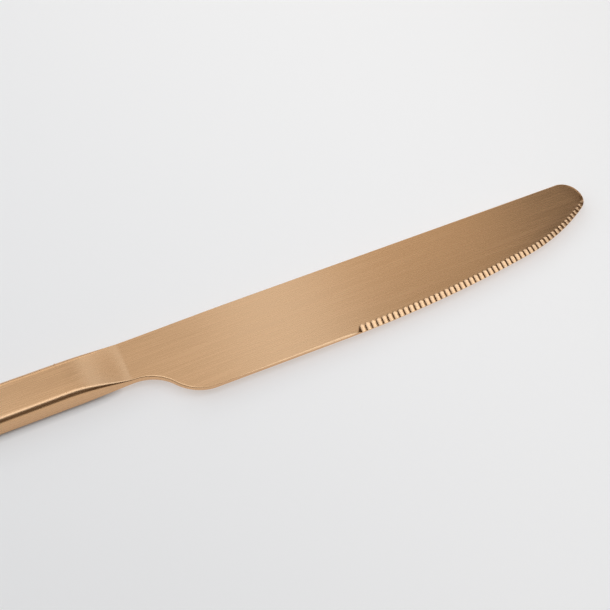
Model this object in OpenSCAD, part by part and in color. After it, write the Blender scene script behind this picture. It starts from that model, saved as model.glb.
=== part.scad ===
// Table knife with a serrated blade and a filled hollow handle, lying on its side.
// The cutting edge faces -Y, the tip points to +X, and the handle's lower face rests at z = 0.

/* [Blade] */
// Length from the bolster's shoulder to the tip
blade_l = 141.5; // [132:0.1:155]
// Width from the spine to the cutting edge
blade_w = 20.5; // [18.5:0.1:23]
// Thickness at the spine, beside the bolster
spine_t = 2.5; // [2.3:0.1:3.2]
// How much thinner the blade is at the cutting edge than at the spine
edge_thinning = 1.1; // [0.8:0.1:1.2]
// How much thinner the blade is at the tip than beside the bolster
tip_thinning = 1.1; // [0.6:0.1:1.2]
// Radius from the spine round to the tip
tip_r = 5.2; // [4.6:0.1:6]
// Radius of the corner where the tip turns into the belly
tip_corner_r = 3.9; // [3:0.1:4.6]
// Angle that the tip's corner turns through
tip_corner_turn = 56; // [51:1:62]
// Radius of the belly near the tip
belly_front_r = 49; // [38:1:60]
// Radius of the main belly
belly_r = 310; // [250:10:400]

/* [Neck and choil] */
// Width of the blade at its neck
neck_w = 11.05; // [9.8:0.05:12]
// How far the spine dips at the neck
neck_dip = 0.3; // [0:0.05:0.6]
// Radius of the hollow behind the heel
choil_r = 11; // [8:0.5:14]
// Radius of the heel
heel_r = 11.5; // [9:0.5:15]

/* [Serration] */
// Angle round the tip's corner at which the serration starts
serration_turn = 14; // [8:1:30]
// Length of the serrated edge, back from its start
serration_l = 72.2; // [50:0.1:80]
// Mean distance from one flute to the next
flute_pitch = 1.39; // [1.2:0.01:1.8]
// Share by which the pitch narrows towards the tip and widens towards the heel
pitch_fade = 0.1; // [0:0.01:0.15]
// Length of a full flute, in from the edge
flute_l = 1.8; // [1.6:0.1:2.4]
// Length of the first flutes, on the tip's corner
flute_tip_l = 1; // [0.7:0.1:1.4]
// Distance from the serration's start at which the flutes reach their full length
flute_fade_l = 28; // [15:1:40]
// Depth of a full flute at the edge
flute_depth = 0.6; // [0.45:0.05:0.65]
// Radius of the wheel that cuts the flutes, which overlap in low ridges
flute_r = 1.3; // [1.2:0.05:1.8]
// Width of the bevel on the plain edge where it meets the first flute
bevel_w = 0.9; // [0.6:0.1:1.3]
// Depth of that bevel
bevel_h = 0.32; // [0.2:0.02:0.4]

/* [Bolster] */
// Length of the bolster, from its shoulder to the neck
bolster_l = 16.2; // [12:0.1:22]
// How soon the bolster swells behind the neck: the lower, the sooner
swell_power = 0.75; // [0.5:0.05:1]
// Radius along the edges of the neck
neck_edge_r = 0.25; // [0.15:0.05:0.5]

/* [Handle] */
// Length from the shoulder to the butt
handle_l = 88.5; // [75:0.1:102]
// How far the handle's axis lies below the spine
handle_drop = 5.6; // [5.2:0.1:6.2]
// Thickness of the handle
handle_t = 6.8; // [5.8:0.1:8]
// Width of the handle at the shoulder
handle_front_w = 10.8; // [9.8:0.1:12]
// Width of the handle at the butt
handle_butt_w = 12; // [10.8:0.1:15]
// Radius along the handle's four edges
handle_edge_r = 1.6; // [1.3:0.1:2.2]
// Radius of the butt's corners, seen from above
butt_corner_r = 2.6; // [2:0.1:4]
// Radius where the butt meets the broad faces
butt_edge_r = 1.6; // [1.3:0.1:2]
// Sheet thickness of the shells
shell_wall = 1.1; // [0.8:0.05:1.2]
// Width of the weld along the seam
seam_w = 0.6; // [0.4:0.05:1]
// Depth of the weld along the seam
seam_d = 0.45; // [0.25:0.05:0.6]
// Thickness of the braze between shoulder and shells
braze_t = 0.2; // [0.1:0.05:0.4]

/* [Tang] */
// Length of the tang behind the shoulder
tang_l = 54; // [40:1:62]
// Width of the tang at the shoulder
tang_w = 6.8; // [5.5:0.1:7.4]
// Width of the tang at its end
tang_end_w = 4.4; // [3.6:0.1:5.4]
// Thickness of the tang
tang_t = 3; // [2.4:0.1:3.4]
// Radius of the notches that key the tang in the cement
notch_r = 0.8; // [0.5:0.1:1.2]
// Distance from one notch to the next
notch_pitch = 14; // [10:1:20]

/* [Hidden] */

// Colours of the coated steel, the bare joints and the cement
coated_colour = [0.76, 0.56, 0.4];
shade_colour = [0.66, 0.46, 0.32];
weld_colour = [0.6, 0.42, 0.3];
braze_colour = [0.85, 0.72, 0.42];
cement_colour = [0.72, 0.7, 0.66];

// Smoothness of the curves
arc_steps = 16;
corner_steps = 5;
round_steps = 6;
ramp_steps = 16;
flute_steps = 6;
cutter_fn = 48;

// Room past a face that a cut runs through
over = 1;

// How far above the face the bevel's plane starts at the heel, so that it cuts in a little way along the edge
bevel_clear = 0.03;

// Least flat width left between two rounded corners
least_flat = 0.1;

// The blade's plane and the handle's axis: y = 0 is the spine, z = 0 the middle of the thickness
axis_y = -handle_drop;
neck_y = -neck_dip - neck_w;
half_t = handle_t / 2;
edge_y = -blade_w;

// Directions and blends
function along(angle) = [cos(angle), sin(angle)];
// Points along an arc after its start, where the line before it ends
function arc(centre, r, from, to, steps) =
    [for (i = [1 : steps]) centre + r * along(from + (to - from) * i / steps)];
function mix(a, b, share) = a + (b - a) * share;
function ease(u) = u * u * (3 - 2 * u);

// Centres of the arcs round the tip and along the belly, each tangent to the last
corner_angle = -tip_corner_turn;
tip_centre = [blade_l - tip_r, -tip_r];
corner_centre = [blade_l - tip_corner_r, -tip_r];
front_centre = corner_centre + (tip_corner_r - belly_front_r) * along(corner_angle);
front_angle = -asin((belly_r - blade_w - front_centre[1]) / (belly_r - belly_front_r));
belly_centre = front_centre + (belly_front_r - belly_r) * along(front_angle);

// The heel and the choil meet in an S-curve whose slope follows from the two radii
choil_turn = acos(1 - (blade_w + neck_y) / (choil_r + heel_r));
choil_centre = [bolster_l, neck_y - choil_r];
heel_x = bolster_l + (choil_r + heel_r) * sin(choil_turn);
heel_centre = [heel_x, edge_y + heel_r];

// The spine rises from its dip until a little past the heel
dip_end = heel_x + heel_r;

// Blade thickness, in one plane on each face
function blade_t(x, y) =
    spine_t + edge_thinning * y / blade_w - tip_thinning * (x - bolster_l) / (blade_l - bolster_l);
function face_z(x, y) = blade_t(x, y) / 2;

// The cutting edge as a path measured back from the serration's start: where its arcs end, the outward angle
// and the point
corner_s = tip_corner_r * (tip_corner_turn - serration_turn) * PI / 180;
front_s = corner_s + belly_front_r * (corner_angle - front_angle) * PI / 180;
belly_s = front_s + belly_r * (front_angle + 90) * PI / 180;
function edge_angle(s) =
    s < corner_s ? -serration_turn - s / tip_corner_r * 180 / PI
    : s < front_s ? corner_angle - (s - corner_s) / belly_front_r * 180 / PI
    : s < belly_s ? front_angle - (s - front_s) / belly_r * 180 / PI
    : -90;
function edge_point(s) =
    s < corner_s ? corner_centre + tip_corner_r * along(edge_angle(s))
    : s < front_s ? front_centre + belly_front_r * along(edge_angle(s))
    : s < belly_s ? belly_centre + belly_r * along(edge_angle(s))
    : [belly_centre[0] - (s - belly_s), edge_y];

// Flutes: their count and their places along the edge
flute_count = round(serration_l / flute_pitch);
function flute_s(i) =
    let (share = (i + 0.5) / flute_count)
    serration_l * share * (1 - pitch_fade * (1 - share));
serration_x = edge_point(flute_s(flute_count - 1))[0];
function flute_reach(s) = mix(flute_tip_l, flute_l, max(0, min(1, s / flute_fade_l)));

// Handle: its half width along the length, and its form drawn in by an inset
function handle_half_w(x) = mix(handle_front_w, handle_butt_w, -x / handle_l) / 2;
function rounding(r, depth) = depth < r ? r - sqrt(r * r - (r - depth) * (r - depth)) : 0;

// Cross-section at x from y_low to y_high, with its own half thickness at each side and round corners
function section(x, y_low, y_high, half_low, half_high, r) = [
    for (corner = [0 : 3], i = [0 : corner_steps])
        let (
            angle = 90 * (corner + i / corner_steps),
            high = corner == 0 || corner == 3,
            y = high ? y_high - r : y_low + r,
            rise = (high ? half_high : half_low) - r
        )
        [x, y + r * cos(angle), (corner < 2 ? rise : -rise) + r * sin(angle)]
];

function handle_section(x, inset, corner_in, edge_in) =
    let (
        half_w = handle_half_w(x) - inset - corner_in,
        half_h = half_t - inset - edge_in,
        r = min(handle_edge_r - inset, half_h - least_flat)
    )
    section(x, axis_y - half_w, axis_y + half_w, half_h, half_h, r);

function handle_rings(inset, x_front) =
    let (
        corner_r = butt_corner_r - inset,
        edge_r = butt_edge_r - inset,
        x_butt = inset - handle_l
    )
    concat(
        [for (i = [0 : round_steps])
            let (depth = corner_r * (1 - cos(90 * i / round_steps)))
            handle_section(x_butt + depth, inset, rounding(corner_r, depth), rounding(edge_r, depth))],
        [handle_section(x_front, inset, 0, 0)]
    );

// Skin over a row of cross-sections with the same number of points
module loft(rings) {
    sides = len(rings[0]);
    last = len(rings) - 1;
    back = [for (i = [0 : sides - 1]) i];
    front = [for (i = [0 : sides - 1]) last * sides + sides - 1 - i];
    skin = [
        for (j = [0 : last - 1], i = [0 : sides - 1])
            let (
                next = (i + 1) % sides,
                a = j * sides + i,
                b = j * sides + next,
                c = a + sides,
                d = b + sides
            )
            each [[a, c, d], [a, d, b]]
    ];
    polyhedron(points = [for (ring = rings) each ring], faces = concat([back, front], skin));
}

module handle_form(inset, x_front) {
    loft(handle_rings(inset, x_front));
}

// Block above a sloping plane, whose height the four corner values give in the order of a rectangle's corners
module block_above(x_low, x_high, y_low, y_high, heights, z_top) {
    corners = [[x_low, y_low], [x_high, y_low], [x_high, y_high], [x_low, y_high]];
    low = [for (i = [0 : 3]) [corners[i][0], corners[i][1], heights[i]]];
    high = [for (i = [0 : 3]) [corners[i][0], corners[i][1], z_top]];
    walls = [for (i = [0 : 3]) let (next = (i + 1) % 4) [i, i + 4, next + 4, next]];
    polyhedron(points = concat(low, high), faces = concat([[0, 1, 2, 3], [7, 6, 5, 4]], walls));
}

// Outline of the blade from above, with a narrower tongue that runs back into the bolster
module blade_outline() {
    tongue_in = neck_edge_r + spine_t / 2;
    tongue_x = bolster_l / 2;
    tongue_top = -neck_dip - tongue_in;
    tongue_foot = neck_y + tongue_in;
    polygon(concat(
        [[tongue_x, tongue_top], [bolster_l, tongue_top]],
        [for (i = [0 : arc_steps])
            [mix(bolster_l, dip_end, i / arc_steps), -neck_dip * (1 - ease(i / arc_steps))]],
        [[tip_centre[0], 0]],
        arc(tip_centre, tip_r, 90, 0, arc_steps),
        arc(corner_centre, tip_corner_r, 0, corner_angle, round_steps),
        arc(front_centre, belly_front_r, corner_angle, front_angle, arc_steps),
        arc(belly_centre, belly_r, front_angle, -90, arc_steps),
        [[heel_x, edge_y]],
        arc(heel_centre, heel_r, 270, 270 - choil_turn, arc_steps),
        arc(choil_centre, choil_r, 90 - choil_turn, 90, arc_steps),
        [[bolster_l, tongue_foot], [tongue_x, tongue_foot]]
    ));
}

// Everything above the blade's upper face
module above_blade() {
    x_low = -over;
    x_high = blade_l + over;
    y_low = edge_y - over;
    block_above(x_low, x_high, y_low, over,
        [face_z(x_low, y_low), face_z(x_high, y_low), face_z(x_high, over), face_z(x_low, over)], handle_t);
}

// Everything above the bevel, which grows along the plain edge from nothing at the heel
module above_bevel() {
    heel_z = face_z(heel_x, edge_y) + bevel_clear;
    slope_x = (face_z(serration_x, edge_y) - bevel_h - heel_z) / (serration_x - heel_x);
    slope_y = (face_z(serration_x, edge_y + bevel_w) - face_z(serration_x, edge_y) + bevel_h) / bevel_w;
    y_low = -over;
    y_high = bevel_w + over;
    run = serration_x - heel_x;
    block_above(heel_x, serration_x, edge_y + y_low, edge_y + y_high,
        [for (corner = [[0, y_low], [run, y_low], [run, y_high], [0, y_high]])
            heel_z + slope_x * corner[0] + slope_y * corner[1]],
        handle_t);
}

// Section through the space above a flute, at a distance t along the edge from the flute's middle
function flute_section(i, t) =
    let (
        s = flute_s(i) + t,
        outward = along(edge_angle(s)),
        outer = edge_point(s) + over * outward,
        inner = edge_point(s) - (flute_reach(s) + over) * outward,
        slope = flute_depth / flute_l,
        rise = flute_r - sqrt(flute_r * flute_r - t * t),
        outer_z = face_z(outer[0], outer[1]) - slope * (flute_reach(s) + over) + rise,
        inner_z = face_z(inner[0], inner[1]) + slope * over + rise
    )
    [[outer[0], outer[1], outer_z], [inner[0], inner[1], inner_z],
        [inner[0], inner[1], handle_t], [outer[0], outer[1], handle_t]];

// Everything above the flutes: a wheel's round grooves that rise from the edge to the blade's face
module above_flutes() {
    last = flute_count - 1;
    end_rise = flute_depth * (1 + over / flute_l);
    end_t = sqrt(2 * flute_r * end_rise - end_rise * end_rise);
    loft([
        for (i = [last : -1 : 0])
            let (
                back_t = i == last ? end_t : (flute_s(i + 1) - flute_s(i)) / 2,
                front_t = i == 0 ? end_t : (flute_s(i) - flute_s(i - 1)) / 2
            )
            for (k = [i == last ? 0 : 1 : flute_steps])
                flute_section(i, mix(back_t, -front_t, k / flute_steps))
    ]);
}

module serrated_plate() {
    difference() {
        translate([0, 0, -half_t])
            linear_extrude(handle_t)
                blade_outline();
        above_blade();
        mirror([0, 0, 1])
            above_blade();
        above_bevel();
        above_flutes();
    }
}

// Bolster: swells from the thin neck, soon and then ever slower, to the handle's section at the shoulder
module bolster() {
    loft([
        for (i = [0 : ramp_steps])
            let (
                share = i / ramp_steps,
                swell = ease(pow(1 - share, swell_power)),
                half_w = handle_half_w(0)
            )
            section(
                bolster_l * share,
                mix(neck_y, axis_y - half_w, swell),
                mix(-neck_dip, axis_y + half_w, swell),
                mix(face_z(bolster_l, neck_y), half_t, swell),
                mix(face_z(bolster_l, -neck_dip), half_t, swell),
                mix(neck_edge_r, handle_edge_r, swell)
            )
    ]);
}

// Tang: tapers to its end, with pairs of notches for the cement
module tang() {
    root = bolster_l / 3;
    difference() {
        translate([0, axis_y, -tang_t / 2])
            linear_extrude(tang_t)
                polygon([
                    [root, -tang_w / 2],
                    [root, tang_w / 2],
                    [0, tang_w / 2],
                    [-tang_l, tang_end_w / 2],
                    [-tang_l, -tang_end_w / 2],
                    [0, -tang_w / 2]
                ]);
        for (x = [notch_pitch : notch_pitch : tang_l - notch_pitch / 2], side = [-1, 1])
            translate([-x, axis_y + side * mix(tang_w, tang_end_w, x / tang_l) / 2, -half_t])
                cylinder(h = handle_t, r = notch_r, $fn = cutter_fn);
    }
}

// Everything outside the seam's depth, in a flat band round the middle of the handle
module seam_band() {
    difference() {
        translate([-handle_l - over, axis_y - handle_butt_w, -seam_w / 2])
            cube([handle_l + 2 * over, 2 * handle_butt_w, seam_w]);
        handle_form(seam_d, 2 * over);
    }
}

// Half of the hollow handle, above the seam
module half_shell() {
    difference() {
        handle_form(0, -braze_t);
        handle_form(shell_wall, over);
        translate([-handle_l - over, axis_y - handle_butt_w, -handle_t])
            cube([handle_l + 2 * over, 2 * handle_butt_w, handle_t]);
        seam_band();
    }
}

// The origin lies below the middle of the whole knife's box
y_top = max(0, axis_y + handle_half_w(butt_corner_r - handle_l));
module placed() {
    translate([(handle_l - blade_l) / 2, (blade_w - y_top) / 2, half_t])
        children();
}

module blade() {
    color(coated_colour)
        placed()
            union() {
                serrated_plate();
                bolster();
                tang();
            }
}

module upper_handle_shell() {
    color(coated_colour)
        placed()
            half_shell();
}

module lower_handle_shell() {
    color(shade_colour)
        placed()
            mirror([0, 0, 1])
                half_shell();
}

module seam_weld() {
    color(weld_colour)
        placed()
            intersection() {
                handle_form(0, -braze_t);
                seam_band();
            }
}

module bolster_braze() {
    color(braze_colour)
        placed()
            difference() {
                handle_form(0, 0);
                handle_form(shell_wall, over);
                translate([-handle_l - over, axis_y - handle_butt_w, -handle_t])
                    cube([handle_l + over - braze_t, 2 * handle_butt_w, 2 * handle_t]);
            }
}

module tang_cement() {
    color(cement_colour)
        placed()
            difference() {
                handle_form(shell_wall, 0);
                tang();
            }
}

blade();
upper_handle_shell();
lower_handle_shell();
seam_weld();
bolster_braze();
tang_cement();
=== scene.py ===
import math

import bmesh
import bpy
import numpy as np
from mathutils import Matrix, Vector


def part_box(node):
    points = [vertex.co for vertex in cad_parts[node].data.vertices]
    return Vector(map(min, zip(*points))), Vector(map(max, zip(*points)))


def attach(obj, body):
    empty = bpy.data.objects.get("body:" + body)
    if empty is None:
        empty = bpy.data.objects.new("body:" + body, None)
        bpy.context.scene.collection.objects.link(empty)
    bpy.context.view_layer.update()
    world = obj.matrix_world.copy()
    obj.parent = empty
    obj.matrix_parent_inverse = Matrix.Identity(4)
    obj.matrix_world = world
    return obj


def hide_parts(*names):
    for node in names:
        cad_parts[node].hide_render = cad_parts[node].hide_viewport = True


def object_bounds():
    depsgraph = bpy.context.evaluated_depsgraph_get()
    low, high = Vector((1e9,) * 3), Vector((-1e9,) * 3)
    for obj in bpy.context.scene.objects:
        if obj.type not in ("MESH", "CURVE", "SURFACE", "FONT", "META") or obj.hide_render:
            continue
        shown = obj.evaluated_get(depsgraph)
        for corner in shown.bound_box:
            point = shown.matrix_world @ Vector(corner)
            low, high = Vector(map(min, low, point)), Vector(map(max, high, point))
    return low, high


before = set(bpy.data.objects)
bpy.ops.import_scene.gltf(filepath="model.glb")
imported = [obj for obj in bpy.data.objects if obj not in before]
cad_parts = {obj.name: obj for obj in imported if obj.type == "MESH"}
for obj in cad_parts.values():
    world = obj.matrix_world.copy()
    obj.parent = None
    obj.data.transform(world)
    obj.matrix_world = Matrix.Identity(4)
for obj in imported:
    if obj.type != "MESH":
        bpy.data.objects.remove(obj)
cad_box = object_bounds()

MM = 0.001

# The knife's sizes are in millimetres. x is 0 at the bolster's shoulder and grows towards the tip, y is 0
# at the spine and falls towards the edge, and z is 0 in the middle of the thickness.

# Blade
BLADE_L = 141.5
BLADE_W = 20.5
SPINE_T = 2.5
EDGE_THINNING = 1.1
TIP_THINNING = 1.1
TIP_R = 5.2
TIP_CORNER_R = 3.9
TIP_CORNER_TURN = 56.0
BELLY_FRONT_R = 49.0
BELLY_R = 310.0
NECK_W = 11.05
NECK_DIP = 0.3
CHOIL_R = 11.0
HEEL_R = 11.5

# Serration, and the bevel on the plain edge behind it, which is narrower here than on the solid
SERRATION_TURN = 14.0
SERRATION_L = 72.2
FLUTE_PITCH = 1.39
PITCH_FADE = 0.1
FLUTE_L = 1.8
FLUTE_TIP_L = 1.0
FLUTE_FADE_L = 28.0
FLUTE_DEPTH = 0.6
FLUTE_R = 1.3
BEVEL_W = 0.5
BEVEL_H = 0.2

# Bolster, handle and tang
BOLSTER_L = 16.2
SWELL_POWER = 0.75
NECK_EDGE_R = 0.25
HANDLE_L = 88.5
HANDLE_DROP = 5.6
HANDLE_T = 6.8
HANDLE_FRONT_W = 10.8
HANDLE_BUTT_W = 12.0
HANDLE_EDGE_R = 1.6
BUTT_CORNER_R = 2.6
BUTT_EDGE_R = 1.6
SHELL_WALL = 1.1
SEAM_W = 0.6
SEAM_D = 0.45
BRAZE_T = 0.2
TANG_L = 54.0
TANG_W = 6.8
TANG_END_W = 4.4
TANG_T = 3.0
NOTCH_R = 0.8
NOTCH_PITCH = 14.0

# Finishing that only the skin has: worn edges, a rolled rim at the tip, broad faces that fall to their
# sides, and the way that the bevel and the serration end
PLATE_EDGE_R = 0.22
CUT_EDGE_R = 0.06
CUT_EDGE_T = 0.03
CHOIL_EDGE_R = 0.55
TIP_ROLL_W = 1.1
TIP_ROLL_FALL = 0.3
TIP_ROLL_RUN = 1.5
BELLY_ROLL_W = 4.5
BELLY_ROLL_FALL = 0.2
BELLY_ROLL_RUN = 42.0
CROWN_W = 4.6
CROWN_FALL = 0.3
RUN_OUT_SLOPE = math.radians(32)
BEVEL_FADE_L = 3.0

# Width of the strip along the outline that carries the edge's forms. It narrows round the tip's corner.
BAND_W = 5.0
CORNER_BAND_W = 3.2
BAND_RUN = 7.0

# Smoothness of the curves and of the finished meshes
ARC_STEPS = 40
BOLSTER_STEPS = 36
FLUTE_STEPS = 14
ROLL_STEPS = 6
BAND_STEPS = 32
BAND_CROWDING = 1.6
CORNER_STEPS = 10
CROWN_STEPS = 12
NOTCH_STEPS = 12
SHARP_ANGLE = math.radians(32)
MERGE_DISTANCE = 1e-5
LARGE_FACE_WEIGHT = 100

HALF_T = HANDLE_T / 2
AXIS_Y = -HANDLE_DROP
NECK_Y = -NECK_DIP - NECK_W
EDGE_Y = -BLADE_W

# Where the shoulder, the spine and the middle of the thickness lie in the frame
BLADE_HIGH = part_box("blade")[1]
ORIGIN = Vector((BLADE_HIGH.x - BLADE_L * MM, BLADE_HIGH.y, (cad_box[0].z + cad_box[1].z) / 2))


def along(degrees):
    """Unit vector in plan at an angle."""
    return np.array([math.cos(math.radians(degrees)), math.sin(math.radians(degrees))])


def mix(a, b, share):
    """Value that lies a share of the way from a to b."""
    return a + (b - a) * share


def ease(u):
    """Share from 0 to 1 that starts and stops gently."""
    return u * u * (3 - 2 * u)


# Centres of the arcs round the tip, along the belly and behind the heel, each tangent to the last
CORNER_ANGLE = -TIP_CORNER_TURN
TIP_CENTRE = np.array([BLADE_L - TIP_R, -TIP_R])
CORNER_CENTRE = np.array([BLADE_L - TIP_CORNER_R, -TIP_R])
FRONT_CENTRE = CORNER_CENTRE + (TIP_CORNER_R - BELLY_FRONT_R) * along(CORNER_ANGLE)
FRONT_ANGLE = -math.degrees(math.asin((BELLY_R - BLADE_W - FRONT_CENTRE[1]) / (BELLY_R - BELLY_FRONT_R)))
BELLY_CENTRE = FRONT_CENTRE + (BELLY_FRONT_R - BELLY_R) * along(FRONT_ANGLE)
CHOIL_TURN = math.degrees(math.acos(1 - (BLADE_W + NECK_Y) / (CHOIL_R + HEEL_R)))
CHOIL_CENTRE = np.array([BOLSTER_L, NECK_Y - CHOIL_R])
HEEL_X = BOLSTER_L + (CHOIL_R + HEEL_R) * math.sin(math.radians(CHOIL_TURN))
HEEL_CENTRE = np.array([HEEL_X, EDGE_Y + HEEL_R])
DIP_END = HEEL_X + HEEL_R
FLUTE_COUNT = round(SERRATION_L / FLUTE_PITCH)

# Where the arcs of the cutting edge end, measured back from the serration's start on the tip's corner
CORNER_S = TIP_CORNER_R * math.radians(TIP_CORNER_TURN - SERRATION_TURN)
FRONT_S = CORNER_S + BELLY_FRONT_R * math.radians(CORNER_ANGLE - FRONT_ANGLE)
BELLY_S = FRONT_S + BELLY_R * math.radians(FRONT_ANGLE + 90)
HEEL_S = BELLY_S + BELLY_CENTRE[0] - HEEL_X


def swell(x):
    """How far the bolster has swelled to the handle's section: 0 at the neck, 1 at the shoulder."""
    return ease(np.clip(1 - np.asarray(x) / BOLSTER_L, 0, 1) ** SWELL_POWER)


def face_z(x, y):
    """Height of the blade's plane upper face."""
    thinning = TIP_THINNING * (x - BOLSTER_L) / (BLADE_L - BOLSTER_L)
    return (SPINE_T + EDGE_THINNING * y / BLADE_W - thinning) / 2


def top_z(x, y):
    """Height of the upper side, which swells from the neck to the shoulder along the bolster."""
    return mix(face_z(np.maximum(x, BOLSTER_L), y), HALF_T, swell(x))


def edge_angle(s):
    """Direction that the cutting edge faces, at a distance back from the serration's start."""
    if s < CORNER_S:
        return -SERRATION_TURN - math.degrees(s / TIP_CORNER_R)
    if s < FRONT_S:
        return CORNER_ANGLE - math.degrees((s - CORNER_S) / BELLY_FRONT_R)
    if s < BELLY_S:
        return FRONT_ANGLE - math.degrees((s - FRONT_S) / BELLY_R)
    return -90.0


def edge_point(s):
    """Point on the cutting edge at a distance back from the serration's start."""
    if s < CORNER_S:
        return CORNER_CENTRE + TIP_CORNER_R * along(edge_angle(s))
    if s < FRONT_S:
        return FRONT_CENTRE + BELLY_FRONT_R * along(edge_angle(s))
    if s < BELLY_S:
        return BELLY_CENTRE + BELLY_R * along(edge_angle(s))
    return np.array([BELLY_CENTRE[0] - (s - BELLY_S), EDGE_Y])


def flute_s(i):
    """Distance of a flute's middle from the serration's start."""
    share = (i + 0.5) / FLUTE_COUNT
    return SERRATION_L * share * (1 - PITCH_FADE * (1 - share))


FLUTES = np.array([flute_s(i) for i in range(FLUTE_COUNT)])
SERRATION_X = edge_point(FLUTES[-1])[0]
RUN_OUT_S = FLUTES[-1] + FLUTE_R * math.sin(RUN_OUT_SLOPE)
RUN_OUT_RISE = FLUTE_R * (1 - math.cos(RUN_OUT_SLOPE))
SERRATION_END_S = RUN_OUT_S + (FLUTE_DEPTH - RUN_OUT_RISE) / math.tan(RUN_OUT_SLOPE)
RUN_OUT_X = edge_point(SERRATION_END_S)[0]
EDGE_START_S = FLUTES[0] - FLUTE_R


def flute_fall(s, depth_in):
    """How deep the flutes lie below the face, at a distance along the edge and in from it."""
    if s > RUN_OUT_S:
        rise = RUN_OUT_RISE + (s - RUN_OUT_S) * math.tan(RUN_OUT_SLOPE)
    else:
        off_middle = np.min(np.abs(FLUTES - s))
        rise = FLUTE_R - math.sqrt(FLUTE_R ** 2 - off_middle ** 2)
    reach = mix(FLUTE_TIP_L, FLUTE_L, np.clip(s / FLUTE_FADE_L, 0, 1))
    return np.maximum(FLUTE_DEPTH / FLUTE_L * (reach - depth_in) - rise, 0)


def bevel_fall(x, depth_in):
    """How deep the bevel lies below the face: it grows from the heel and fades before the serration."""
    grown = np.clip((x - HEEL_X) / (SERRATION_X - HEEL_X), 0, 1)
    share = grown * np.clip((RUN_OUT_X - x) / BEVEL_FADE_L, 0, 1)
    return np.maximum(share * BEVEL_H - depth_in * BEVEL_H / BEVEL_W, 0)


def round_fall(r, depth_in):
    """Fall of a rounded edge of radius r."""
    left = np.maximum(r - depth_in, 0)
    return r - np.sqrt(r * r - left * left)


def roll_fall(depth_in, width, fall):
    """Fall of a face that rolls over towards its side, over a width."""
    return fall * np.clip(1 - depth_in / width, 0, 1) ** 2


class Sample:
    """One place along the blade's outline: its point, the way it faces and the finish of its edge."""

    def __init__(self, point, outward, edge_r=PLATE_EDGE_R, s=None, tip=0.0, belly=0.0, crown=0.0):
        self.point = np.array(point, float)
        self.outward = np.array(outward, float)
        self.edge_r = edge_r
        self.s = s
        self.tip = tip
        self.belly = belly
        self.crown = crown
        self.band_w = BAND_W


def bolster_samples(side):
    """The bolster's spine side (1) or edge side (-1), from the shoulder to the neck."""
    shoulder_y = AXIS_Y + side * HANDLE_FRONT_W / 2
    neck_y = -NECK_DIP if side > 0 else NECK_Y
    samples = []
    for i in range(BOLSTER_STEPS + 1):
        x = BOLSTER_L * i / BOLSTER_STEPS
        edge_r = mix(NECK_EDGE_R, HANDLE_EDGE_R, swell(x))
        point = (x, mix(neck_y, shoulder_y, swell(x)))
        samples.append(Sample(point, (0, side), edge_r, crown=swell(x)))
    return samples


def arc_samples(centre, r, start, end, sign=1, **finish):
    """An arc after its first point, with the outward direction along the radius or against it."""
    samples = []
    for i in range(1, ARC_STEPS + 1):
        direction = along(mix(start, end, i / ARC_STEPS))
        samples.append(Sample(centre + r * direction, sign * direction, **finish))
    return samples


def spine_samples():
    """The spine after the neck: out of the neck's dip and straight on to the tip's rounding."""
    samples = []
    for i in range(1, ARC_STEPS + 1):
        share = i / ARC_STEPS
        samples.append(Sample((mix(BOLSTER_L, DIP_END, share), -NECK_DIP * (1 - ease(share))), (0, 1)))
    for i in range(1, ARC_STEPS + 1):
        samples.append(Sample((mix(DIP_END, TIP_CENTRE[0], i / ARC_STEPS), 0), (0, 1)))
    return samples


def edge_samples():
    """The cutting edge from the tip to the heel, with every ridge between two flutes on a sample."""
    ridges = (FLUTES[1:] + FLUTES[:-1]) / 2
    stops = np.concatenate([[EDGE_START_S], ridges, [SERRATION_END_S]])
    places = []
    for a, b in zip(stops[:-1], stops[1:]):
        places += [mix(a, b, k / FLUTE_STEPS) for k in range(1, FLUTE_STEPS + 1)]
    places += [mix(stops[-1], HEEL_S, k / ARC_STEPS) for k in range(1, ARC_STEPS + 1)]
    samples = []
    for s in places:
        tip = 1 - ease(np.clip(s / TIP_ROLL_RUN, 0, 1))
        belly = 1 - ease(np.clip(s / BELLY_ROLL_RUN, 0, 1))
        edge_r = mix(PLATE_EDGE_R, CUT_EDGE_R, ease(np.clip(s / TIP_ROLL_RUN, 0, 1)))
        samples.append(Sample(edge_point(s), along(edge_angle(s)), edge_r, s=s, tip=tip, belly=belly))
    return samples


def blade_samples():
    """The whole outline, from the shoulder along the spine, round the tip and back along the edge."""
    samples = bolster_samples(1)
    samples += spine_samples()
    rounding_tip = arc_samples(TIP_CENTRE, TIP_R, 90, 0)
    for i, sample in enumerate(rounding_tip):
        sample.tip = ease((i + 1) / ARC_STEPS)
        sample.belly = sample.tip
    samples += rounding_tip
    samples += arc_samples(CORNER_CENTRE, TIP_CORNER_R, 0, edge_angle(EDGE_START_S), tip=1.0, belly=1.0)
    samples += edge_samples()
    heel = arc_samples(HEEL_CENTRE, HEEL_R, 270, 270 - CHOIL_TURN)
    choil = arc_samples(CHOIL_CENTRE, CHOIL_R, 90 - CHOIL_TURN, 90, sign=-1)
    for i, sample in enumerate(heel):
        sample.edge_r = mix(CUT_EDGE_R, CHOIL_EDGE_R, ease((i + 1) / ARC_STEPS))
    for i, sample in enumerate(choil):
        sample.edge_r = mix(CHOIL_EDGE_R, NECK_EDGE_R, ease((i + 1) / ARC_STEPS))
    samples += heel + choil + bolster_samples(-1)[-2::-1]
    corner = CORNER_CENTRE + TIP_CORNER_R * along(CORNER_ANGLE / 2)
    for sample in samples:
        away = np.hypot(*(sample.point - corner))
        sample.band_w = mix(CORNER_BAND_W, BAND_W, ease(min(1.0, away / BAND_RUN)))
    return samples


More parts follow.
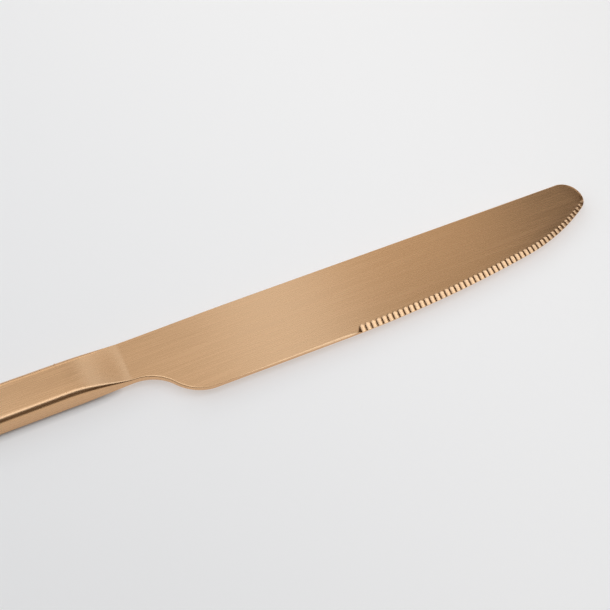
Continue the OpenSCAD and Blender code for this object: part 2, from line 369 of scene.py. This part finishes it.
def column(sample):
    """Points across the edge at one sample, from the upper face over the edge to the lower face."""
    r = sample.edge_r
    turns = np.radians(np.linspace(0, 90, ROLL_STEPS + 1))
    rolled = r * (1 - np.cos(turns))
    flat = mix(r, sample.band_w, np.linspace(0, 1, BAND_STEPS + 1)[1:] ** BAND_CROWDING)
    depths = np.concatenate([rolled, flat])
    plan = sample.point[None, :] - depths[:, None] * sample.outward[None, :]
    height = top_z(plan[:, 0], plan[:, 1])
    fall = round_fall(r, depths)
    upper_fall = fall + sample.crown * roll_fall(depths, CROWN_W, CROWN_FALL)
    belly_w = min(BELLY_ROLL_W, sample.band_w)
    roll = sample.tip * roll_fall(depths, TIP_ROLL_W, TIP_ROLL_FALL)
    roll = roll + sample.belly * roll_fall(depths, belly_w, BELLY_ROLL_FALL)
    upper_fall = upper_fall + roll
    if sample.s is not None:
        ground = np.maximum(flute_fall(sample.s, depths), bevel_fall(sample.point[0], depths))
        upper_fall = np.maximum(upper_fall, ground + roll)
    lower_z = fall - height
    upper_z = np.maximum(height - upper_fall, lower_z + CUT_EDGE_T)
    upper = np.column_stack([plan, upper_z])[::-1]
    lower = np.column_stack([plan, lower_z])
    keep = list(range(ROLL_STEPS + 1)) + [len(depths) - 1]
    return np.concatenate([upper, lower[keep]])


def tang_outline():
    """Plan of the tang from the shoulder round its end and back, with half-round notches."""
    def side(sign):
        points = [(0.0, AXIS_Y + sign * TANG_W / 2)]
        x = NOTCH_PITCH
        while x <= TANG_L - NOTCH_PITCH / 2:
            y = AXIS_Y + sign * mix(TANG_W, TANG_END_W, x / TANG_L) / 2
            for k in range(NOTCH_STEPS + 1):
                turn = math.pi * k / NOTCH_STEPS
                points.append((-x + NOTCH_R * math.cos(turn), y - sign * NOTCH_R * math.sin(turn)))
            x += NOTCH_PITCH
        points.append((-TANG_L, AXIS_Y + sign * TANG_END_W / 2))
        return points

    return side(1) + side(-1)[::-1]


def finish_mesh(name, bm):
    """Turns a bmesh in local millimetres into an object in the frame, smooth but for its sharp edges."""
    bmesh.ops.remove_doubles(bm, verts=bm.verts, dist=MERGE_DISTANCE)
    bmesh.ops.recalc_face_normals(bm, faces=bm.faces)
    if bm.calc_volume(signed=True) < 0:
        bmesh.ops.reverse_faces(bm, faces=bm.faces)
    for v in bm.verts:
        v.co = v.co * MM + ORIGIN
    for f in bm.faces:
        f.smooth = True
    mesh = bpy.data.meshes.new(name)
    bm.to_mesh(mesh)
    bm.free()
    mesh.set_sharp_from_angle(angle=SHARP_ANGLE)
    piece = bpy.data.objects.new(name, mesh)
    bpy.context.scene.collection.objects.link(piece)
    weighting = piece.modifiers.new("even_faces", "WEIGHTED_NORMAL")
    weighting.keep_sharp = True
    weighting.weight = LARGE_FACE_WEIGHT
    return piece


def add_points(bm, points):
    """New vertices at a list of points."""
    return [bm.verts.new(tuple(float(c) for c in p)) for p in points]


def skin_between(bm, rows, closed=False):
    """Quads over a row of point lists of one length; closed joins each list's end to its start."""
    for a, b in zip(rows[:-1], rows[1:]):
        last = len(a) if closed else len(a) - 1
        for j in range(last):
            k = (j + 1) % len(a)
            bm.faces.new((a[j], b[j], b[k], a[k]))


def make_blade():
    """The blade, its bolster and its tang in one skin."""
    samples = blade_samples()
    bm = bmesh.new()
    columns = [add_points(bm, column(s)) for s in samples]
    skin_between(bm, columns)
    neck, total = BOLSTER_STEPS, len(samples)
    plate = columns[neck:total - neck]
    for k in range(neck):
        near, far = columns[total - 1 - k], columns[k]
        near_next, far_next = columns[total - 2 - k], columns[k + 1]
        bm.faces.new((near[0], near_next[0], far_next[0], far[0]))
        bm.faces.new((far[-1], far_next[-1], near_next[-1], near[-1]))
    bm.faces.new([c[0] for c in reversed(plate)])
    bm.faces.new([c[-1] for c in plate])

    plan = tang_outline()
    upper = add_points(bm, [(x, y, TANG_T / 2) for x, y in plan])
    lower = add_points(bm, [(x, y, -TANG_T / 2) for x, y in plan])
    skin_between(bm, [upper, lower])
    bm.faces.new(upper)
    bm.faces.new(lower[::-1])
    root = [upper[0], upper[-1], lower[-1], lower[0]]
    shoulder = columns[0] + columns[-1][::-1]
    rims = []
    for loop in (root, shoulder):
        for a, b in zip(loop, loop[1:] + loop[:1]):
            rims.append(bm.edges.get((a, b)) or bm.edges.new((a, b)))
    bmesh.ops.bridge_loops(bm, edges=rims)
    return finish_mesh("blade_skin", bm)


def handle_half_w(x):
    """Half of the handle's width, which grows towards the butt."""
    return mix(HANDLE_FRONT_W, HANDLE_BUTT_W, -x / HANDLE_L) / 2


def rounding(r, depth):
    """How far a rounded corner of radius r draws in at a depth behind its front."""
    return r - math.sqrt(r * r - (r - depth) ** 2) if depth < r else 0.0


def half_section(x, half_w, half_h, r, foot, crown=0.0):
    """Upper half of a rounded section, from its foot on the edge side over the top to the spine side."""
    turns = np.radians(np.linspace(0, 90, CORNER_STEPS + 1))
    flat = np.linspace(r, half_w, CROWN_STEPS + 1)[1:]
    depths = np.concatenate([r * (1 - np.cos(turns)), flat])
    heights = half_h - round_fall(r, depths) - crown * roll_fall(depths, CROWN_W, CROWN_FALL)
    near = [(x, AXIS_Y - half_w + d, h) for d, h in zip(depths, heights)]
    far = [(x, AXIS_Y + half_w - d, h) for d, h in zip(depths, heights)]
    return [(x, AXIS_Y - half_w, foot)] + near + far[-2::-1] + [(x, AXIS_Y + half_w, foot)]


def handle_stations(inset, front_x):
    """Places from the handle's front to its butt, each with how far its width and height draw in."""
    corner_r, edge_r = BUTT_CORNER_R - inset, BUTT_EDGE_R - inset
    butt_x = inset - HANDLE_L
    stations = [(front_x, 0.0, 0.0)]
    for k in range(CORNER_STEPS + 1):
        depth = corner_r * (1 - math.cos(math.pi / 2 * (1 - k / CORNER_STEPS)))
        stations.append((butt_x + depth, rounding(corner_r, depth), rounding(edge_r, depth)))
    return stations


def handle_halves(inset, front_x, foot, crown=0.0):
    """Upper half sections of the handle's form drawn in by an inset."""
    halves = []
    for x, corner_in, edge_in in handle_stations(inset, front_x):
        half_w = handle_half_w(x) - inset - corner_in
        half_h = HALF_T - inset - edge_in
        r = min(HANDLE_EDGE_R - inset, half_h - foot - crown * CROWN_FALL)
        halves.append(half_section(x, half_w, half_h, r, foot, crown))
    return halves


def split_shell(loop, count):
    """Outer and inner line of a shell's section, and its rebate's corners at the far and near foot."""
    outer = loop[:count]
    inner = loop[count + 2:2 * count + 2][::-1]
    return outer, inner, loop[count:count + 2], loop[:-3:-1]


def close_front(bm, loop, count):
    """Faces over the shell's wall at its open front."""
    outer, inner, far, near = split_shell(loop, count)
    skin_between(bm, [outer, inner])
    bm.faces.new((outer[-1], *far, inner[-1]))
    bm.faces.new((outer[0], *near, inner[0]))


def close_butt(bm, loop, count):
    """Faces that close the shell at its butt, outside, along the rebate and inside."""
    outer, inner, far, near = split_shell(loop, count)
    bm.faces.new(outer)
    skin_between(bm, [(outer[-1], *far, inner[-1]), (outer[0], *near, inner[0])])
    bm.faces.new(inner)


def make_shell(name, side):
    """Half of the hollow handle with its rebate for the weld; side 1 is the upper half, -1 the lower."""
    bm = bmesh.new()
    outer = handle_halves(0, -BRAZE_T, SEAM_W / 2, max(side, 0))
    step = handle_halves(SEAM_D, -BRAZE_T, SEAM_W / 2)
    lip = handle_halves(SEAM_D, -BRAZE_T, 0)
    inner = handle_halves(SHELL_WALL, -BRAZE_T, 0)
    loops = []
    for outside, stepped, lipped, inside in zip(outer, step, lip, inner):
        loop = outside + [stepped[-1], lipped[-1]] + inside[::-1] + [lipped[0], stepped[0]]
        loops.append(add_points(bm, [(x, y, side * z) for x, y, z in loop]))
    skin_between(bm, loops, closed=True)
    close_front(bm, loops[0], len(outer[0]))
    close_butt(bm, loops[-1], len(outer[0]))
    return finish_mesh(name, bm)


def seam_path(inset):
    """Plan of the handle's side at an inset, from the front round the butt to the front again."""
    stations = handle_stations(inset, -BRAZE_T)
    widths = [(x, handle_half_w(x) - inset - corner_in) for x, corner_in, _ in stations]
    return [(x, AXIS_Y + w) for x, w in widths] + [(x, AXIS_Y - w) for x, w in reversed(widths)]


def make_weld():
    """The weld bead along both seams and round the butt, ground flush."""
    bm = bmesh.new()
    half = SEAM_W / 2
    rows = []
    for (xo, yo), (xi, yi) in zip(seam_path(0), seam_path(SEAM_D)):
        rows.append(add_points(bm, [(xo, yo, half), (xo, yo, -half), (xi, yi, -half), (xi, yi, half)]))
    skin_between(bm, rows, closed=True)
    bm.faces.new(rows[0])
    bm.faces.new(rows[-1][::-1])
    return finish_mesh("seam_weld_bead", bm)


def full_section(x, inset):
    """The handle's whole section at a place along it, drawn in by an inset."""
    half_w = handle_half_w(x) - inset
    half_h = HALF_T - inset
    upper = half_section(x, half_w, half_h, HANDLE_EDGE_R - inset, 0)
    return upper + [(px, py, -pz) for px, py, pz in upper[-2:0:-1]]


def make_braze():
    """The ring of braze between the bolster's shoulder and the shells."""
    bm = bmesh.new()
    places = ((-BRAZE_T, 0), (0, 0), (0, SHELL_WALL), (-BRAZE_T, SHELL_WALL), (-BRAZE_T, 0))
    rings = [add_points(bm, full_section(x, inset)) for x, inset in places]
    skin_between(bm, rings, closed=True)
    return finish_mesh("bolster_braze_ring", bm)


# Satin coating: its colour, gloss and scratches
COPPER = (0.76, 0.463, 0.247)
SATIN_ROUGHNESS = 0.27
ROUGHNESS_SPREAD = 0.05
TONE_SPREAD = 0.03
BRUSHING = 0.45
SCRATCH_SCALE = (60.0, 2200.0, 2200.0)
SCRATCH_DETAIL = 1.5
SCRATCH_RANGE = (0.3, 0.7)
SCRATCH_STRENGTH = 0.05
SCRATCH_DEPTH = 0.00002

# Cement: the tones of its grain
CEMENT_DARK = (0.42, 0.4, 0.36, 1)
CEMENT_PALE = (0.56, 0.54, 0.5, 1)
CEMENT_GRAIN = 900.0
CEMENT_ROUGHNESS = 0.9

# Table, in metres: its finish and size, how much paler a painted glow shows it than its plain light makes
# it, at the butt and past the tip, so that this painted light grows brighter towards the tip over a reach,
# and the reach of the painted contact shade that darkens the glow near the knife
FLOOR_COLOUR = (0.535, 0.51, 0.478, 1)
FLOOR_ROUGHNESS = 0.7
FLOOR_SPECULAR = 0.2
FLOOR_HALF = 1.5
BUTT_LIFT = 0.35
TIP_LIFT = 0.51
LIFT_REACH = 0.12
CONTACT_REACH = 0.002


def new_material(name):
    """A material with its nodes, links and main shader."""
    material = bpy.data.materials.new(name)
    material.use_nodes = True
    nodes = material.node_tree.nodes
    return material, nodes, material.node_tree.links, nodes["Principled BSDF"]


def brushed_metal(name):
    """Satin coated steel with fine scratches along the knife."""
    material, nodes, links, shader = new_material(name)
    shader.inputs["Metallic"].default_value = 1.0
    shader.inputs["Anisotropic"].default_value = BRUSHING
    tangent = nodes.new("ShaderNodeTangent")
    tangent.direction_type = "RADIAL"
    tangent.axis = "X"
    links.new(tangent.outputs["Tangent"], shader.inputs["Tangent"])
    place = nodes.new("ShaderNodeTexCoord")
    stretch = nodes.new("ShaderNodeMapping")
    stretch.inputs["Scale"].default_value = SCRATCH_SCALE
    links.new(place.outputs["Object"], stretch.inputs["Vector"])
    scratches = nodes.new("ShaderNodeTexNoise")
    scratches.inputs["Scale"].default_value = 1.0
    scratches.inputs["Detail"].default_value = SCRATCH_DETAIL
    links.new(stretch.outputs["Vector"], scratches.inputs["Vector"])
    tone = nodes.new("ShaderNodeValToRGB")
    for stop, position, change in zip(tone.color_ramp.elements, SCRATCH_RANGE, (-TONE_SPREAD, TONE_SPREAD)):
        stop.position = position
        stop.color = (*[c * (1 + change) for c in COPPER], 1)
    links.new(scratches.outputs["Fac"], tone.inputs["Fac"])
    links.new(tone.outputs["Color"], shader.inputs["Base Color"])
    gloss = nodes.new("ShaderNodeMapRange")
    gloss.inputs["To Min"].default_value = SATIN_ROUGHNESS - ROUGHNESS_SPREAD
    gloss.inputs["To Max"].default_value = SATIN_ROUGHNESS + ROUGHNESS_SPREAD
    links.new(scratches.outputs["Fac"], gloss.inputs["Value"])
    links.new(gloss.outputs["Result"], shader.inputs["Roughness"])
    bump = nodes.new("ShaderNodeBump")
    bump.inputs["Strength"].default_value = SCRATCH_STRENGTH
    bump.inputs["Distance"].default_value = SCRATCH_DEPTH
    links.new(scratches.outputs["Fac"], bump.inputs["Height"])
    links.new(bump.outputs["Normal"], shader.inputs["Normal"])
    return material


def cement_material():
    """Matt cement with a fine grain."""
    material, nodes, links, shader = new_material("hard_cement")
    shader.inputs["Roughness"].default_value = CEMENT_ROUGHNESS
    grain = nodes.new("ShaderNodeTexNoise")
    grain.inputs["Scale"].default_value = CEMENT_GRAIN
    tone = nodes.new("ShaderNodeValToRGB")
    tone.color_ramp.elements[0].color = CEMENT_DARK
    tone.color_ramp.elements[1].color = CEMENT_PALE
    links.new(grain.outputs["Fac"], tone.inputs["Fac"])
    links.new(tone.outputs["Color"], shader.inputs["Base Color"])
    return material


def combined(nodes, links, operation, first, second):
    """Output of a math node that takes two other outputs."""
    node = nodes.new("ShaderNodeMath")
    node.operation = operation
    links.new(first, node.inputs[0])
    links.new(second, node.inputs[1])
    return node.outputs["Value"]


def floor_material():
    """A plain pale table that keeps its shadows, with a painted glow where it is seen or mirrored."""
    material, nodes, links, shader = new_material("pale_table")
    shader.inputs["Base Color"].default_value = FLOOR_COLOUR
    shader.inputs["Roughness"].default_value = FLOOR_ROUGHNESS
    shader.inputs["Specular IOR Level"].default_value = FLOOR_SPECULAR
    shader.inputs["Emission Color"].default_value = (1, 1, 1, 1)
    seen = nodes.new("ShaderNodeLightPath")
    direct = combined(nodes, links, "MAXIMUM", seen.outputs["Is Camera Ray"], seen.outputs["Is Glossy Ray"])
    either = combined(nodes, links, "MAXIMUM", direct, seen.outputs["Is Transmission Ray"])
    place = nodes.new("ShaderNodeTexCoord")
    axes = nodes.new("ShaderNodeSeparateXYZ")
    links.new(place.outputs["Object"], axes.inputs["Vector"])
    # The glow grows from the butt to past the tip: painted light, brighter towards the tip
    level = nodes.new("ShaderNodeMapRange")
    level.interpolation_type = "SMOOTHSTEP"
    level.inputs["From Min"].default_value = -LIFT_REACH
    level.inputs["From Max"].default_value = LIFT_REACH
    level.inputs["To Min"].default_value = BUTT_LIFT
    level.inputs["To Max"].default_value = TIP_LIFT
    links.new(axes.outputs["X"], level.inputs["Value"])
    # Ambient occlusion darkens the glow near the knife: painted contact shade
    contact = nodes.new("ShaderNodeAmbientOcclusion")
    contact.inputs["Distance"].default_value = CONTACT_REACH
    glow_with_painted_shade = combined(nodes, links, "MULTIPLY", either, contact.outputs["AO"])
    painted_glow = combined(nodes, links, "MULTIPLY", glow_with_painted_shade, level.outputs["Result"])
    links.new(painted_glow, shader.inputs["Emission Strength"])
    return material


def dress(piece, material, slot, *nodes):
    """Gives a piece its material and its place in the part."""
    piece.data.materials.append(material)
    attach(piece, "root")
    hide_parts(*nodes)


dress(make_blade(), brushed_metal("coated_blade"), "coated_blade", "blade")
handle_metal = brushed_metal("coated_handle")
dress(make_shell("upper_shell_skin", 1), handle_metal, "coated_handle", "upper_handle_shell")
dress(make_shell("lower_shell_skin", -1), handle_metal, "coated_handle", "lower_handle_shell")
dress(make_weld(), brushed_metal("coated_weld"), "coated_weld", "seam_weld")
dress(make_braze(), brushed_metal("coated_braze"), "braze", "bolster_braze")
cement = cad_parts["tang_cement"]
cement.data.materials.clear()
cement.data.materials.append(cement_material())

# Table
corner_signs = ((-1, -1), (1, -1), (1, 1), (-1, 1))
floor_corners = [(sx * FLOOR_HALF, sy * FLOOR_HALF, cad_box[0].z) for sx, sy in corner_signs]
floor_mesh = bpy.data.meshes.new("table_top")
floor_mesh.from_pydata(floor_corners, [], [(0, 1, 2, 3)])
floor = bpy.data.objects.new("table_top", floor_mesh)
bpy.context.scene.collection.objects.link(floor)
floor.data.materials.append(floor_material())

# Room: its tones, the way to its pale side, and where between the two sides it changes
ROOM_DIM = (0.08, 0.053, 0.03, 1)
ROOM_PALE = (0.42, 0.42, 0.42, 1)
PALE_SIDE = Vector((-0.9, 0.35, 0.25)).normalized()
ROOM_CHANGE = (-0.4, 0.7)


def studio_world():
    """A soft grey room that goes down to a dim, warm tone on the near right."""
    world = bpy.data.worlds.new("studio")
    bpy.context.scene.world = world
    world.use_nodes = True
    nodes, links = world.node_tree.nodes, world.node_tree.links
    place = nodes.new("ShaderNodeTexCoord")
    facing = nodes.new("ShaderNodeVectorMath")
    facing.operation = "DOT_PRODUCT"
    facing.inputs[1].default_value = PALE_SIDE
    links.new(place.outputs["Generated"], facing.inputs[0])
    share = nodes.new("ShaderNodeMapRange")
    share.interpolation_type = "SMOOTHSTEP"
    share.inputs["From Min"].default_value = ROOM_CHANGE[0]
    share.inputs["From Max"].default_value = ROOM_CHANGE[1]
    links.new(facing.outputs["Value"], share.inputs["Value"])
    tone = nodes.new("ShaderNodeValToRGB")
    tone.color_ramp.elements[0].color = ROOM_DIM
    tone.color_ramp.elements[1].color = ROOM_PALE
    links.new(share.outputs["Result"], tone.inputs["Fac"])
    links.new(tone.outputs["Color"], nodes["Background"].inputs["Color"])


def softbox(name, x_range, y_range, z, radiance, colour=(1, 1, 1)):
    """A level, soft rectangular lamp that shines down and whose face has a given brightness."""
    lamp = bpy.data.lights.new(name, "AREA")
    lamp.shape = "RECTANGLE"
    lamp.size = x_range[1] - x_range[0]
    lamp.size_y = y_range[1] - y_range[0]
    lamp.energy = radiance * math.pi * lamp.size * lamp.size_y
    lamp.color = colour
    stand = bpy.data.objects.new(name, lamp)
    stand.location = (sum(x_range) / 2, sum(y_range) / 2, z)
    bpy.context.scene.collection.objects.link(stand)


# Softboxes over the near and the far side, and a row of low panels that the broad faces mirror, in metres
PANEL_Z = 0.2
PANEL_Y = (-0.02, 0.3)
NEAR_PANEL_Y = (-0.02, 0.11)
FAR_PANEL_Y = (0.11, 0.3)
BELLY_PANEL_Y = (0.082, 0.3)
NECK_PANEL_X = (-0.04, 0.055)
COOL = (0.86, 1.0, 1.2)
WARM = (1.06, 0.97, 0.84)

studio_world()
softbox("near_softbox", (-0.25, 0.5), (-0.22, 0.0), 0.5, 1.5, COOL)
softbox("far_softbox", (-0.1, 1.2), (0.35, 1.1), 0.3, 0.7)
softbox("butt_panel", (-0.3, -0.12), PANEL_Y, PANEL_Z, 1.0, COOL)
softbox("handle_panel", (-0.12, -0.04), PANEL_Y, PANEL_Z, 0.55, COOL)
softbox("neck_near_panel", NECK_PANEL_X, NEAR_PANEL_Y, PANEL_Z, 0.45)
softbox("neck_far_panel", NECK_PANEL_X, FAR_PANEL_Y, PANEL_Z, 0.25)
softbox("middle_panel", (0.055, 0.098), PANEL_Y, PANEL_Z, 0.76, COOL)
softbox("belly_panel", (0.098, 0.175), BELLY_PANEL_Y, PANEL_Z, 0.43, WARM)

# Camera, as fitted to the photo's outline
CAMERA_AZIMUTH = math.radians(-23.525)
CAMERA_ELEVATION = math.radians(57)
CAMERA_DISTANCE = 0.5
CAMERA_AIM = Vector((0.03646, 0.00258, 0.0032))
IMAGE_SIDE = 610
FOCAL_PIXELS = 2017.6
SENSOR_W = 36

camera_data = bpy.data.cameras.new("camera")
camera_data.sensor_width = SENSOR_W
camera_data.lens = FOCAL_PIXELS * SENSOR_W / IMAGE_SIDE
camera = bpy.data.objects.new("camera", camera_data)
back = Vector((
    math.sin(CAMERA_AZIMUTH) * math.cos(CAMERA_ELEVATION),
    -math.cos(CAMERA_AZIMUTH) * math.cos(CAMERA_ELEVATION),
    math.sin(CAMERA_ELEVATION),
))
camera.location = CAMERA_AIM + back * CAMERA_DISTANCE
camera.rotation_mode = "QUATERNION"
camera.rotation_quaternion = (-back).to_track_quat("-Z", "Y")
bpy.context.scene.collection.objects.link(camera)
bpy.context.scene.camera = camera
bpy.context.scene.view_settings.view_transform = "Standard"
